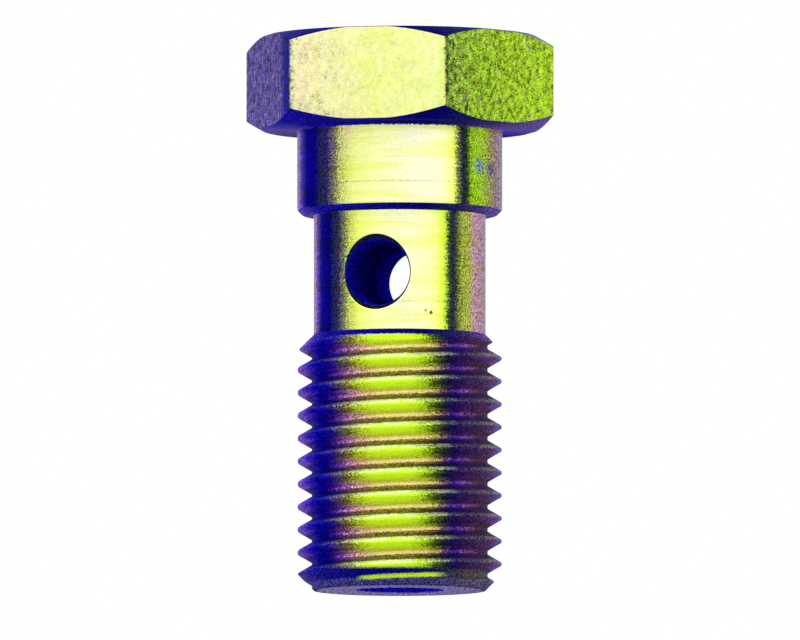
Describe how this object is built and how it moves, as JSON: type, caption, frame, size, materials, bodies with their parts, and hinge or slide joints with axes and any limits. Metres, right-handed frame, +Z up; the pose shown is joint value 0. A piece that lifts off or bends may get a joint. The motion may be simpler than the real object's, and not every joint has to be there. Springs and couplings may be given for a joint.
{
  "type": "banjo bolt",
  "caption": "Hollow banjo bolt with a hexagon head, a plain collar, a cross-drilled neck, an axial passage and a right-hand screw thread.",
  "frame": {"origin": "centre of the flat end face at the threaded end, which the bolt stands on", "axes": "+Z up the bolt's axis towards the hexagon head, Y along the cross hole through the neck"},
  "size_m": [0.0146, 0.013, 0.0257],
  "materials": {
    "yellow_zinc": "steel with yellow passivated zinc plating, turned and satin, with a blue-violet sheen"
  },
  "bodies": {
    "root": {"banjo_bolt": "yellow_zinc"}
  },
  "joints": []
}
